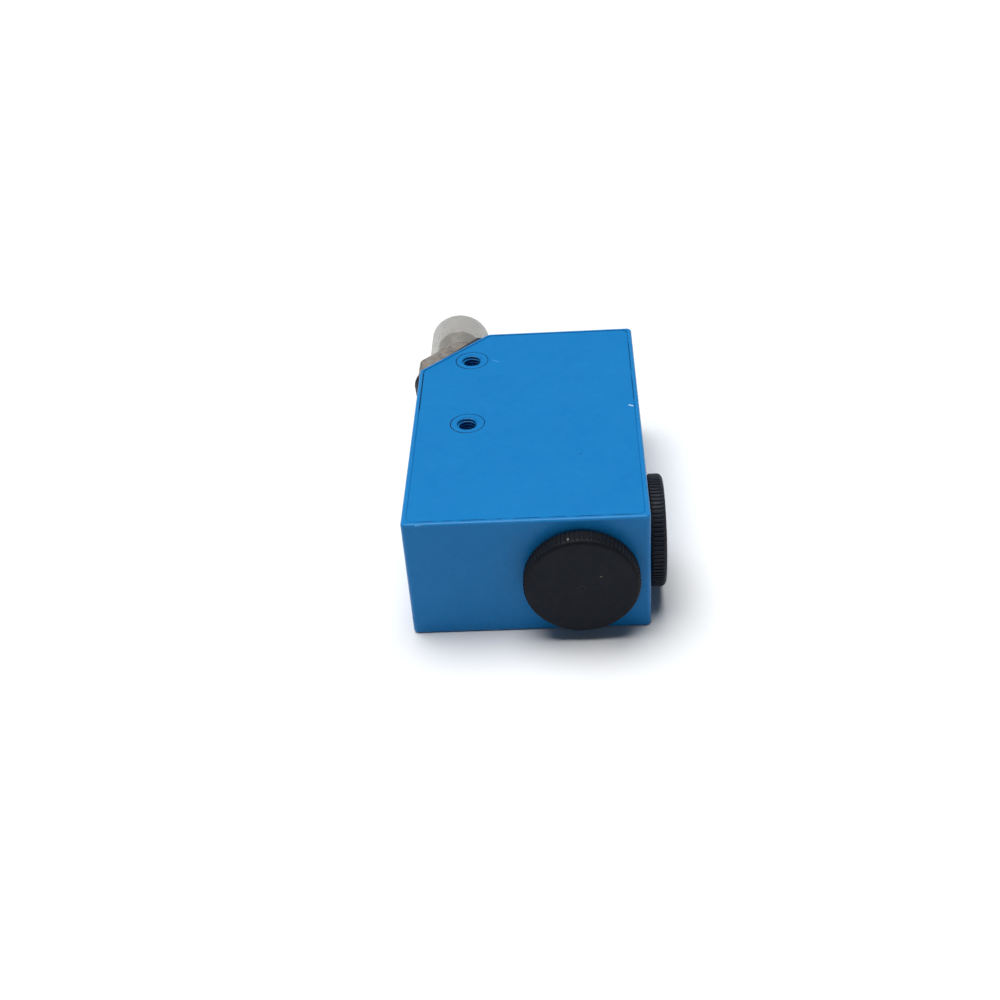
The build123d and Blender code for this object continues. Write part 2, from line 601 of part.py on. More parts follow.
def rotary_selector():
    """Screwdriver slot and pointer on a short shaft."""
    axis = upright_axis(SELECTOR_AT)
    knob = rod(SELECTOR_R, REAR - WALL - 1.2, REAR - 0.3)
    knob = chamfer(knob.edges().group_by(Axis.Z)[-1], 0.3)
    knob -= ring(SELECTOR_R + 1, SELECTOR_R - 0.6, REAR - WALL, REAR - WALL + 1.0)
    knob += rod(0.9, DISPLAY_Y + DISPLAY_T + 0.2, REAR - WALL)
    knob -= Pos(0, 0, REAR) * Box(2 * SELECTOR_R - 1.2, 0.9, 2.2)
    knob -= Pos(SELECTOR_R - 1.1, 0, REAR) * Rot(Z=45) * Box(1.1, 1.1, 2.2)
    return axis * knob


def selector_seal():
    return o_ring(SELECTOR_R - 0.08, 0.34, REAR - WALL + 0.5, upright_axis(SELECTOR_AT))


def selector_switch():
    axis = upright_axis(SELECTOR_AT)
    y = DISPLAY_Y + DISPLAY_T
    body = axis * Pos(0, 0, y + 0.5) * Box(5.6, 5.6, 1.0)
    return body - rod(0.95, y + 0.05, 50, axis)


nodes = {
    "housing_shell": housing_shell(),
    "cover_plate": cover_plate(),
    "cover_gasket": cover_gasket(),
    "type_plate": type_plate(),
    "blind_cap": blind_cap(),
    "blind_cap_seal": o_ring(CAP_SEAL_R, CAP_SEAL_WIRE, CAP_SEAL_AT, BLIND),
    "lens_ring": lens_ring(),
    "objective_lens": objective_lens(),
    "lens_retainer": lens_retainer(),
    "lens_seal": o_ring(CAP_SEAL_R, CAP_SEAL_WIRE, CAP_SEAL_AT, LENS),
    "base_plate": base_plate(),
    "swivel_block": swivel_block(),
    "swivel_seal": o_ring(SWIVEL_SEAL_R, SWIVEL_SEAL_WIRE, sum(SEAL_GROOVE) / 2, SWIVEL),
    "swivel_retainer": swivel_retainer(),
    "connector_sleeve": connector_sleeve(),
    "connector_insert": connector_insert(),
    "contact_pins": contact_pins(),
    "plug_leads": plug_leads(),
    "housing_leads": housing_leads(),
    "dust_cap": dust_cap(),
    "optics_block": optics_block(),
    "beam_splitter": beam_splitter(),
    "condenser_lens": tunnel_lens(emitter_plane(), 5.2, 12.0),
    "receiver_lens": tunnel_lens(receiver_plane(), 2.4, 12.0),
    "emitter_led": emitter_led(),
    "receiver_diode": receiver_diode(),
    "emitter_board": sub_board(emitter_plane(), 17.2),
    "receiver_board": sub_board(receiver_plane(), 15.6),
    "optics_screws": optics_screws(),
    "main_board": main_board(),
    "board_components": board_components(),
    "board_screws": board_screws(),
    "display_board": display_board(),
    "display_screws": display_screws(),
    "indicator_lamps": indicator_lamps(),
    "display_cable": display_cable(),
    "emitter_cable": emitter_cable(),
    "receiver_cable": receiver_cable(),
    "panel_frame": panel_frame(),
    "panel_window": panel_window(),
    "light_guide": light_guide(),
    "teach_button": teach_button(),
    "teach_switch": teach_switch(),
    "rotary_selector": rotary_selector(),
    "selector_seal": selector_seal(),
    "selector_switch": selector_switch(),
}

os.makedirs("parts", exist_ok=True)
for name, shape in nodes.items():
    export_step(shape, f"parts/{name}.step")
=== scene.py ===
import json
from math import cos, pi, radians, sin, sqrt, tan, tau

import bmesh
import bpy
from mathutils import Matrix, Vector


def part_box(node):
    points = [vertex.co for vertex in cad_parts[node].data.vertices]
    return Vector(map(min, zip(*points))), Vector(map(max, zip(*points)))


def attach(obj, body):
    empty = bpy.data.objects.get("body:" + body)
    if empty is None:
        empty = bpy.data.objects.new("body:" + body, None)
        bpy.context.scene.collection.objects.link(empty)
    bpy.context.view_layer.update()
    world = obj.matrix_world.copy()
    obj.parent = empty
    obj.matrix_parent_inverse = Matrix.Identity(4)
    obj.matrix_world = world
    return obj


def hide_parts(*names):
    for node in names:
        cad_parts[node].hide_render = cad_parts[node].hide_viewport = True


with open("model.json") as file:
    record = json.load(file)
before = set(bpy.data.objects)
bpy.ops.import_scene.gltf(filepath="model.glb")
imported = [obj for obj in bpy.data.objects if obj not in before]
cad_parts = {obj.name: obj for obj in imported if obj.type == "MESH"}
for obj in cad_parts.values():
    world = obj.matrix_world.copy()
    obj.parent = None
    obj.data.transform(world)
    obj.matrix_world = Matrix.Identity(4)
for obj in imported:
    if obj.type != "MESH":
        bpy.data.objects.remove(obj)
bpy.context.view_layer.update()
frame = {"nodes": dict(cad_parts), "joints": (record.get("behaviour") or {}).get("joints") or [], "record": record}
MM = 0.001
BOSS_LINE_R = 3.985 * MM

# Places taken from the frame, in metres in the row frame
HOUSING_LOW, HOUSING_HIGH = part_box("housing_shell")
MID_Z = (HOUSING_LOW.z + HOUSING_HIGH.z) / 2
JOINTS = {joint["name"]: joint for joint in frame["joints"]}
MOUNTS = {mount["name"]: mount for mount in frame["record"]["mounts"]}


def axes(origin, normal, first):
    """A matrix with its Z along normal and its X along first, at origin."""
    z = Vector(normal).normalized()
    x = Vector(first).normalized()
    turned = Matrix((x, z.cross(x), z)).transposed().to_4x4()
    return Matrix.Translation(Vector(origin)) @ turned


SWIVEL_AT = Vector(JOINTS["plug_swivel"]["pos_m"])
PLUG_LOW, PLUG_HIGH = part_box("connector_sleeve")
DUST_CAP_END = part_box("dust_cap")[1].y
PLUG = axes(((PLUG_LOW.x + PLUG_HIGH.x) / 2, 0, MID_Z), (0, 1, 0), (1, 0, 0))
BLIND = axes(JOINTS["blind_cap_turn"]["pos_m"], (0, -1, 0), (1, 0, 0))
LENS = axes(JOINTS["lens_turn"]["pos_m"], (1, 0, 0), (0, 1, 0))


# Materials

def srgb(red, green, blue):
    """Linear colour of an 8-bit screen colour."""
    return tuple(((c / 255 + 0.055) / 1.055) ** 2.4 if c > 10 else c / 255 / 12.92
                 for c in (red, green, blue))


class Shader:
    """A Principled material in the object's own coordinates, and the nodes that the materials share."""

    def __init__(self, name, colour, roughness, **values):
        self.material = bpy.data.materials.new(name)
        self.material.use_nodes = True
        self.tree = self.material.node_tree
        self.bsdf = self.tree.nodes["Principled BSDF"]
        self.set("Base Color", (*colour, 1))
        self.set("Roughness", roughness)
        for socket, value in values.items():
            self.set(socket.replace("_", " ").title().replace("Ior", "IOR"), value)
        self.material.diffuse_color = (*colour, 1)
        self.colour = (*colour, 1)
        self.height = None

    def set(self, socket, value):
        self.bsdf.inputs[socket].default_value = value

    def link(self, output, target):
        self.tree.links.new(output, target)
        return self

    def node(self, kind, **settings):
        made = self.tree.nodes.new(kind)
        for key, value in settings.items():
            setattr(made, key, value)
        return made

    def place(self, stretch=(1, 1, 1), offset=(0, 0, 0), turn=(0, 0, 0)):
        """Object coordinates, moved, turned and stretched."""
        coordinates = self.node("ShaderNodeTexCoord")
        mapping = self.node("ShaderNodeMapping")
        mapping.inputs["Location"].default_value = offset
        mapping.inputs["Rotation"].default_value = turn
        mapping.inputs["Scale"].default_value = stretch
        self.link(coordinates.outputs["Object"], mapping.inputs["Vector"])
        return mapping.outputs["Vector"]

    def noise(self, size, detail=2.0, roughness=0.5, **place):
        """Noise with features of about size metres."""
        made = self.node("ShaderNodeTexNoise")
        made.inputs["Scale"].default_value = 1 / size
        made.inputs["Detail"].default_value = detail
        made.inputs["Roughness"].default_value = roughness
        self.link(self.place(**place), made.inputs["Vector"])
        return made.outputs["Fac"]

    def cells(self, size, **place):
        """Distance from scattered points about size metres apart, from 0 at a point."""
        made = self.node("ShaderNodeTexVoronoi")
        made.inputs["Scale"].default_value = 1 / size
        self.link(self.place(**place), made.inputs["Vector"])
        return made.outputs["Distance"]

    def math(self, operation, a, b=0.0, clamp=False):
        made = self.node("ShaderNodeMath", operation=operation, use_clamp=clamp)
        for socket, value in zip(made.inputs, (a, b)):
            if isinstance(value, (int, float)):
                socket.default_value = value
            else:
                self.link(value, socket)
        return made.outputs[0]

    def between(self, value, low, high, to_low=0.0, to_high=1.0):
        made = self.node("ShaderNodeMapRange", clamp=True)
        for socket, number in zip(made.inputs[1:5], (low, high, to_low, to_high)):
            socket.default_value = number
        self.link(value, made.inputs[0])
        return made.outputs[0]

    def mix(self, factor, first, second):
        """Colour first where factor is 0 and second where it is 1."""
        made = self.node("ShaderNodeMix", data_type="RGBA")
        self.link(factor, made.inputs["Factor"])
        for socket, value in ((made.inputs[6], first), (made.inputs[7], second)):
            if isinstance(value, tuple):
                socket.default_value = value
            else:
                self.link(value, socket)
        return made.outputs[2]

    def tint(self, factor, colour):
        """Blends the base colour towards colour where factor is high."""
        socket = self.bsdf.inputs["Base Color"]
        under = socket.links[0].from_socket if socket.links else self.colour
        return self.link(self.mix(factor, under, (*colour, 1)), socket)

    def vary_roughness(self, value, low, high):
        return self.link(self.between(value, 0.3, 0.7, low, high), self.bsdf.inputs["Roughness"])

    def bump(self, value, distance, strength=1.0):
        """Adds a height of distance metres over value's range."""
        made = self.node("ShaderNodeBump")
        made.inputs["Distance"].default_value = distance
        made.inputs["Strength"].default_value = strength
        self.link(value, made.inputs["Height"])
        if self.height:
            self.link(self.height, made.inputs["Normal"])
        self.height = made.outputs["Normal"]
        return self.link(self.height, self.bsdf.inputs["Normal"])

    def radial(self, centre, keep):
        """Distance from centre, along the axes that keep is 1 for."""
        length = self.node("ShaderNodeVectorMath", operation="LENGTH")
        offset = tuple(-c * k for c, k in zip(centre, keep))
        self.link(self.place(stretch=keep, offset=offset), length.inputs[0])
        return length.outputs["Value"]

    def edges(self, radius, colour, amount, only=None):
        """Painted highlight and wear: lightens the surface within radius of a sharp edge, where only is 1."""
        bevel = self.node("ShaderNodeBevel", samples=6)
        bevel.inputs["Radius"].default_value = radius
        geometry = self.node("ShaderNodeNewGeometry")
        dot = self.node("ShaderNodeVectorMath", operation="DOT_PRODUCT")
        self.link(bevel.outputs["Normal"], dot.inputs[0])
        self.link(geometry.outputs["Normal"], dot.inputs[1])
        highlight_and_wear = self.between(dot.outputs["Value"], 0.999, 0.9, 0.0, amount)
        return self.tint(self.math("MULTIPLY", highlight_and_wear, only) if only else highlight_and_wear, colour)

    def spot(self, centre, size, colour, soft=0.25, turn=(0, 0, 0)):
        """A small mark: an ellipsoid of half-axes size at centre, in metres."""
        moved = self.node("ShaderNodeVectorMath", operation="SUBTRACT")
        coordinates = self.node("ShaderNodeTexCoord")
        self.link(coordinates.outputs["Object"], moved.inputs[0])
        moved.inputs[1].default_value = centre
        mapping = self.node("ShaderNodeMapping", vector_type="TEXTURE")
        mapping.inputs["Rotation"].default_value = turn
        mapping.inputs["Scale"].default_value = size
        self.link(moved.outputs[0], mapping.inputs["Vector"])
        length = self.node("ShaderNodeVectorMath", operation="LENGTH")
        self.link(mapping.outputs[0], length.inputs[0])
        return self.tint(self.between(length.outputs["Value"], 1.0, 1.0 - soft), colour)


def blue_paint():
    """Semi-gloss stoved paint on zinc: a faint orange peel, dust nibs, and outer edges lightened by a painted
    highlight that is partly rubbed wear.
    """
    s = Shader("blue_paint", srgb(24, 115, 177), 0.3, specular_ior_level=0.14)
    s.tint(s.between(s.noise(14 * MM, 3), 0.35, 0.7, 0, 0.5), srgb(19, 109, 173))
    s.tint(s.between(s.noise(2.2 * MM, 4), 0.45, 0.75, 0, 0.3), srgb(31, 121, 183))
    middle = (HOUSING_LOW + HOUSING_HIGH) / 2
    half = (HOUSING_HIGH - HOUSING_LOW) / 2
    rim = 0.0
    for axis in range(3):
        keep = tuple(int(k == axis) for k in range(3))
        near = s.between(s.radial(middle, keep), half[axis] - 0.85 * MM, half[axis] - 0.7 * MM)
        rim = s.math("ADD", rim, near)
    where_two_sides_meet = s.math("SUBTRACT", rim, 1.0, clamp=True)
    # Painted highlight: the shell's outer edges are lightened as if catching the light, partly rubbed wear.
    s.edges(0.45 * MM, srgb(112, 186, 230), 0.85, where_two_sides_meet)
    s.tint(s.between(s.cells(6.5 * MM), 0.035, 0.02, 0, 0.5), srgb(10, 76, 134))
    dark_nib = (12.37, -15.73, 0.22, 0.2, 0.0, srgb(14, 44, 84))
    chip = (24.55, 3.3, 0.8, 0.16, -0.5, srgb(208, 228, 240))
    scratch = (-7.7, 26.3, 1.3, 0.09, -0.6, srgb(90, 164, 218))
    for x, y, half_length, half_width, turn, colour in (dark_nib, chip, scratch):
        s.spot((x * MM, y * MM, HOUSING_HIGH.z), (half_length * MM, half_width * MM, 0.1 * MM), colour,
               turn=(0, 0, turn))
    s.vary_roughness(s.noise(5 * MM, 3), 0.24, 0.34)
    s.bump(s.noise(1.1 * MM, 2), 0.006 * MM)
    s.bump(s.noise(0.16 * MM, 1), 0.0015 * MM)
    return s


def cap_plastic(name="black_cap_plastic"):
    """Black glass-filled plastic of the screw caps: fine spark-eroded grain, edges and crests lightened by painted
    glints and wear, and lint.
    """
    s = Shader(name, srgb(19, 23, 32), 0.52, specular_ior_level=0.13)
    s.tint(s.between(s.noise(3 * MM, 4), 0.4, 0.75, 0, 0.5), srgb(24, 28, 38))
    # Painted highlight: sharp edges and knurl crests lightened as glints, partly rubbed wear.
    s.edges(0.16 * MM, srgb(84, 86, 92), 0.55)
    s.tint(s.between(s.cells(2.9 * MM), 0.03, 0.015, 0, 0.8), srgb(92, 90, 84))
    s.vary_roughness(s.noise(1.5 * MM, 3), 0.46, 0.64)
    s.bump(s.noise(0.14 * MM, 2, 0.6), 0.008 * MM)
    return s


def blind_cap_plastic():
    """The same plastic on the blind cap, with painted shade darkening its knurled band, and two small light spots,
    one of them a painted glint.
    """
    s = cap_plastic("blind_cap_plastic")
    centre = BLIND.translation
    knurl_shade_radius = s.radial((centre.x, 0, centre.z), (1, 0, 1))
    # Painted shade: the knurled band round the rim is darkened, as if its grooves lay in shade.
    s.tint(s.between(knurl_shade_radius, 11.5 * MM, 12.1 * MM, 0, 0.72), srgb(9, 10, 14))
    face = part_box("blind_cap")[0].y
    # Two small light spots on the face and the upper rim; one of them is a painted glint.
    s.spot((15.6 * MM, face, 18.2 * MM), (0.22 * MM, 0.3 * MM, 0.2 * MM), srgb(120, 108, 92))
    s.spot((8.9 * MM, face + 1.3 * MM, 27.5 * MM), (0.3 * MM, 0.4 * MM, 0.25 * MM), srgb(112, 110, 104))
    return s


def base_plastic():
    s = Shader("base_plastic", srgb(24, 27, 36), 0.5)
    s.tint(s.between(s.noise(2 * MM, 3), 0.4, 0.7, 0, 0.5), srgb(36, 39, 48))
    s.edges(0.15 * MM, srgb(64, 68, 78), 0.5)
    s.vary_roughness(s.noise(0.8 * MM, 3), 0.42, 0.6)
    s.bump(s.noise(0.15 * MM, 2), 0.006 * MM)
    return s


def nickel_zinc():
    """Die-cast swivel block with a dull nickel plating, mottled by handling."""
    s = Shader("nickel_zinc", srgb(163, 157, 151), 0.42, metallic=0.85)
    s.tint(s.between(s.noise(3.2 * MM, 5, 0.65), 0.38, 0.68, 0, 0.8), srgb(124, 112, 103))
    s.tint(s.between(s.noise(0.7 * MM, 3), 0.5, 0.75, 0, 0.5), srgb(186, 181, 176))
    s.edges(0.3 * MM, srgb(214, 210, 204), 0.6)
    s.vary_roughness(s.noise(1.6 * MM, 4), 0.34, 0.58)
    s.bump(s.noise(0.5 * MM, 4, 0.6), 0.02 * MM)
    s.bump(s.noise(0.1 * MM, 2), 0.004 * MM)
    return s


def nickel_brass():
    """Turned and nickel-plated sleeve: fine rings from the lathe."""
    s = Shader("nickel_brass", srgb(134, 130, 123), 0.3, metallic=1.0)
    s.tint(s.between(s.noise(1.8 * MM, 4), 0.4, 0.75, 0, 0.6), srgb(106, 99, 90))
    s.edges(0.12 * MM, srgb(196, 193, 186), 0.6)
    turning = s.noise(0.08 * MM, 2, stretch=(0.02, 1, 0.02))
    s.vary_roughness(turning, 0.18, 0.36)
    s.bump(turning, 0.003 * MM)
    return s


def dust_cap_plastic():
    """Milky polyethylene that lets the plug show through as a darker shape."""
    s = Shader("dust_cap_plastic", srgb(158, 155, 149), 0.36)
    across = s.radial(PLUG.translation, (1, 0, 1))
    inner_face, outer_face = 0.03, 0.6
    side = s.between(across, 6.5 * MM, 7.2 * MM, inner_face, outer_face)
    along = s.radial((0, 0, 0), (0, 1, 0))
    end = s.between(along, DUST_CAP_END - 0.8 * MM, DUST_CAP_END - 0.4 * MM, inner_face, outer_face)
    s.link(s.math("MAXIMUM", side, end), s.bsdf.inputs["Alpha"])
    s.tint(s.between(s.noise(2.5 * MM, 3), 0.4, 0.75, 0, 0.5), srgb(147, 143, 137))
    s.vary_roughness(s.noise(1.2 * MM, 3), 0.26, 0.4)
    s.bump(s.noise(0.9 * MM, 2), 0.008 * MM)
    return s


def seal_rubber():
    s = Shader("seal_rubber", srgb(26, 26, 27), 0.62, specular_ior_level=0.3)
    s.tint(s.between(s.noise(0.9 * MM, 3), 0.5, 0.75, 0, 0.4), srgb(48, 48, 48))
    s.vary_roughness(s.noise(0.6 * MM, 2), 0.55, 0.72)
    s.bump(s.noise(0.12 * MM, 2), 0.005 * MM)
    return s


def lens_glass():
    s = Shader("lens_glass", (0.96, 0.98, 0.99), 0.02, transmission_weight=1.0, ior=1.52, coat_weight=0.6,
               coat_tint=(0.72, 0.86, 1.0, 1), coat_roughness=0.02)
    s.vary_roughness(s.noise(4 * MM, 2), 0.012, 0.03)
    return s


def splitter_mirror():
    s = Shader("splitter_mirror", (0.82, 0.86, 0.92), 0.03, transmission_weight=0.5, metallic=0.4)
    s.vary_roughness(s.noise(3 * MM, 2), 0.02, 0.05)
    return s


def anodised_black():
    s = Shader("anodised_black", srgb(31, 31, 33), 0.42, metallic=0.6)
    s.tint(s.between(s.noise(1.3 * MM, 3), 0.45, 0.75, 0, 0.4), srgb(48, 48, 51))
    s.edges(0.15 * MM, srgb(92, 92, 94), 0.5)
    s.bump(s.noise(0.1 * MM, 2), 0.004 * MM)
    return s


def label_foil():
    """Brushed polyester foil in silver."""
    s = Shader("label_foil", srgb(205, 206, 205), 0.34, metallic=0.75)
    brushed = s.noise(0.12 * MM, 3, stretch=(0.03, 1, 1))
    s.tint(s.between(brushed, 0.35, 0.7, 0, 0.6), srgb(178, 180, 180))
    s.vary_roughness(brushed, 0.26, 0.44)
    s.bump(brushed, 0.002 * MM)
    return s


def spring_steel():
    s = Shader("spring_steel", srgb(168, 168, 170), 0.32, metallic=1.0)
    s.tint(s.between(s.noise(0.9 * MM, 3), 0.4, 0.7, 0, 0.5), srgb(128, 126, 124))
    s.bump(s.noise(0.1 * MM, 2), 0.003 * MM)
    return s


def screw_steel():
    s = Shader("screw_steel", srgb(190, 190, 192), 0.28, metallic=1.0)
    s.tint(s.between(s.noise(0.7 * MM, 3), 0.4, 0.7, 0, 0.4), srgb(150, 149, 147))
    s.edges(0.1 * MM, srgb(226, 226, 226), 0.5)
    return s


def insert_plastic():
    s = Shader("insert_plastic", srgb(29, 29, 30), 0.5)
    s.tint(s.between(s.noise(0.9 * MM, 3), 0.45, 0.7, 0, 0.5), srgb(43, 43, 45))
    s.vary_roughness(s.noise(0.5 * MM, 2), 0.42, 0.6)
    s.bump(s.noise(0.1 * MM, 2), 0.004 * MM)
    return s


def gold():
    s = Shader("gold", srgb(233, 194, 108), 0.2, metallic=1.0)
    s.tint(s.between(s.noise(0.5 * MM, 3), 0.45, 0.75, 0, 0.4), srgb(206, 158, 78))
    s.bump(s.noise(0.05 * MM, 2), 0.001 * MM)
    return s


def board_green():
    """Solder mask with the copper tracks showing through as a lighter pattern."""
    s = Shader("board_green", srgb(22, 92, 52), 0.3, coat_weight=0.3)
    tracks = s.noise(1.6 * MM, 1, stretch=(1, 1, 0.1))
    s.tint(s.between(tracks, 0.5, 0.53, 0, 0.5), srgb(46, 124, 70))
    s.bump(s.between(tracks, 0.5, 0.53), 0.02 * MM)
    return s


def chip_black():
    s = Shader("chip_black", srgb(34, 34, 36), 0.6)
    s.tint(s.between(s.noise(0.5 * MM, 3), 0.45, 0.75, 0, 0.4), srgb(54, 54, 56))
    s.bump(s.noise(0.08 * MM, 2), 0.004 * MM)
    return s


def led_epoxy():
    s = Shader("led_epoxy", (0.92, 0.93, 0.88), 0.12, transmission_weight=0.7, ior=1.5)
    s.tint(s.between(s.noise(0.6 * MM, 2), 0.45, 0.7, 0, 0.5), (0.95, 0.86, 0.6))
    return s


def ribbon_plastic():
    s = Shader("ribbon_plastic", srgb(186, 130, 56), 0.34)
    stripes = s.noise(0.45 * MM, 0, stretch=(1, 0.01, 0.01))
    s.tint(s.between(stripes, 0.48, 0.52, 0, 0.6), srgb(142, 92, 34))
    return s


def lead_sheath():
    s = Shader("lead_sheath", srgb(120, 74, 42), 0.5)
    s.tint(s.between(s.noise(1.1 * MM, 1), 0.49, 0.51), srgb(38, 82, 152))
    return s


def panel_plastic():
    s = Shader("panel_plastic", srgb(36, 38, 42), 0.46)
    s.tint(s.between(s.noise(1.4 * MM, 3), 0.4, 0.72, 0, 0.5), srgb(46, 48, 53))
    s.edges(0.2 * MM, srgb(88, 90, 95), 0.5)
    s.vary_roughness(s.noise(0.8 * MM, 3), 0.4, 0.56)
    s.bump(s.noise(0.16 * MM, 2, 0.6), 0.01 * MM)
    return s


def window_smoke():
    s = Shader("window_smoke", (0.16, 0.15, 0.16), 0.06, transmission_weight=0.75, ior=1.49)
    s.vary_roughness(s.noise(3 * MM, 3), 0.04, 0.1)
    return s


def clear_plastic():
    s = Shader("clear_plastic", (0.9, 0.92, 0.93), 0.1, transmission_weight=0.9, ior=1.49)
    s.vary_roughness(s.noise(1.5 * MM, 2), 0.06, 0.16)
    return s


def button_plastic():
    s = Shader("button_plastic", srgb(58, 60, 64), 0.58)
    s.tint(s.between(s.noise(1.1 * MM, 3), 0.4, 0.7, 0, 0.5), srgb(70, 72, 76))
    s.edges(0.3 * MM, srgb(104, 106, 110), 0.5)
    s.bump(s.noise(0.14 * MM, 2), 0.008 * MM)
    return s


def selector_plastic():
    s = Shader("selector_plastic", srgb(206, 203, 196), 0.42)
    s.tint(s.between(s.noise(0.9 * MM, 3), 0.4, 0.7, 0, 0.5), srgb(190, 186, 178))
    s.edges(0.15 * MM, srgb(232, 230, 225), 0.5)
    s.bump(s.noise(0.12 * MM, 2), 0.005 * MM)
    return s


def joint_shade():
    """Painted shade: a dark navy laid in the open joints of the painted shell, where shade falls."""
    s = Shader("joint_shade", srgb(9, 30, 62), 0.7, specular_ior_level=0.1)
    s.tint(s.between(s.noise(0.5 * MM, 3), 0.4, 0.7, 0, 0.5), srgb(12, 44, 88))
    s.bump(s.noise(0.08 * MM, 2), 0.003 * MM)
    return s


def print_white():
    """Screen-printed white ink."""
    s = Shader("print_white", srgb(214, 215, 214), 0.55)
    s.tint(s.between(s.noise(0.25 * MM, 3), 0.5, 0.75, 0, 0.5), srgb(182, 183, 183))
    s.bump(s.noise(0.08 * MM, 2), 0.003 * MM)
    return s


def print_black():
    """Thermal-transfer print on the type plate."""
    s = Shader("print_black", srgb(38, 39, 42), 0.5)
    s.tint(s.between(s.noise(0.2 * MM, 3), 0.55, 0.8, 0, 0.5), srgb(74, 75, 78))
    s.bump(s.noise(0.08 * MM, 2), 0.002 * MM)
    return s


SLOTS = {
    "blue_paint": blue_paint(), "black_cap_plastic": cap_plastic(), "base_plastic": base_plastic(),
    "nickel_zinc": nickel_zinc(), "nickel_brass": nickel_brass(), "dust_cap_plastic": dust_cap_plastic(),
    "seal_rubber": seal_rubber(), "lens_glass": lens_glass(), "splitter_mirror": splitter_mirror(),
    "anodised_black": anodised_black(), "label_foil": label_foil(), "spring_steel": spring_steel(),
    "screw_steel": screw_steel(), "insert_plastic": insert_plastic(), "gold": gold(),
    "board_green": board_green(), "chip_black": chip_black(), "led_epoxy": led_epoxy(),
    "ribbon_plastic": ribbon_plastic(), "lead_sheath": lead_sheath(), "panel_plastic": panel_plastic(),
    "window_smoke": window_smoke(), "clear_plastic": clear_plastic(), "button_plastic": button_plastic(),
    "selector_plastic": selector_plastic(),
}


def paint(obj, shader):
    obj.data.materials.clear()
    obj.data.materials.append(shader.material)


for part in frame["record"]["subparts"]:
    paint(frame["nodes"][part["node"]], SLOTS[part["material_slot"]])
paint(frame["nodes"]["blind_cap"], blind_cap_plastic())
# Painted shade for the open joints of the shell.
JOINT_SHADE = joint_shade()
WHITE_INK = print_white()
BLACK_INK = print_black()


# Geometry

def mesh_object(name, points, faces, slot, body, shader=None, sharp=None):
    """A smooth-shaded mesh that rides on a body and takes its finish from a slot."""
    mesh = bpy.data.meshes.new(name)
    mesh.from_pydata([tuple(p) for p in points], [], faces)
    outward = bmesh.new()
    outward.from_mesh(mesh)
    bmesh.ops.recalc_face_normals(outward, faces=outward.faces)
    outward.to_mesh(mesh)
    outward.free()
    obj = bpy.data.objects.new(name, mesh)
    bpy.context.scene.collection.objects.link(obj)
    mesh.shade_smooth()
    if sharp:
        mesh.set_sharp_from_angle(angle=radians(sharp))
    paint(obj, shader or SLOTS[slot])
    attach(obj, body)
    return obj


def ring_shell(name, place, outer, inner, low, high, rows, columns, slot, body, sharp=None):
    """A closed tube about place's Z. outer and inner give a radius at (height, angle)."""
    points, faces = [], []
    for radius_at in (outer, inner):
        for row in range(rows + 1):
            height = low + (high - low) * row / rows
            for column in range(columns):
                angle = tau * column / columns
                r = radius_at(height, angle)
                points.append(place @ Vector((r * cos(angle), r * sin(angle), height)))
    half = (rows + 1) * columns

    def at(side, row, column):
        return side * half + row * columns + column % columns

    for column in range(columns):
        for row in range(rows):
            a, b = at(0, row, column), at(0, row, column + 1)
            faces.append((a, b, at(0, row + 1, column + 1), at(0, row + 1, column)))
            a, b = at(1, row, column), at(1, row, column + 1)
            faces.append((at(1, row + 1, column), at(1, row + 1, column + 1), b, a))
        for first, second, row in ((0, 1, rows), (1, 0, 0)):
            faces.append((at(first, row, column), at(first, row, column + 1),
                          at(second, row, column + 1), at(second, row, column)))
    return mesh_object(name, points, faces, slot, body, sharp=sharp)


def ridge(height, angle, pitch):
    """Right-hand thread form: 1 along the crest and 0 in the root, with rounded corners."""
    phase = (height / pitch - angle / tau) % 1.0
    slope = abs(2 * phase - 1)
    form = min(max((0.86 - slope) / 0.68, 0.0), 1.0)
    return form * form * (3 - 2 * form)


def fade(height, low, high, run):
    """1 in the middle and down to 0 over run at both ends."""
    return min(max((height - low) / run, 0.0), 1.0) * min(max((high - height) / run, 0.0), 1.0)


def mounting_bores():
    """X and Y of the two mounting bores."""
    mount = MOUNTS["mounting_threads"]
    spacing = mount["dims"]["spacing_y_mm"] * MM
    return [Vector(mount["pos_m"]).xy + Vector((0, side * spacing / 2)) for side in (-1, 1)]


def mounting_threads():
    """The M5 ridges inside the two painted mounting bores."""
    bore = MOUNTS["mounting_threads"]["dims"]["hole_r_mm"] * MM
    pitch, depth, tooth = 0.8 * MM, 5.3 * MM, 0.46 * MM
    top = HOUSING_HIGH.z - 0.12 * MM
    for number, centre in enumerate(mounting_bores()):
        place = axes((centre.x, centre.y, 0), (0, 0, 1), (1, 0, 0))
        low = top - depth

        def inner(height, angle):
            return bore - 0.02 * MM - tooth * ridge(height, angle, pitch) * fade(height, low, top, 0.35 * MM)

        ring_shell(f"mounting_thread_{number}", place, lambda height, angle: bore - 0.004 * MM, inner,
                   low, top, 80, 72, "blue_paint", "housing")


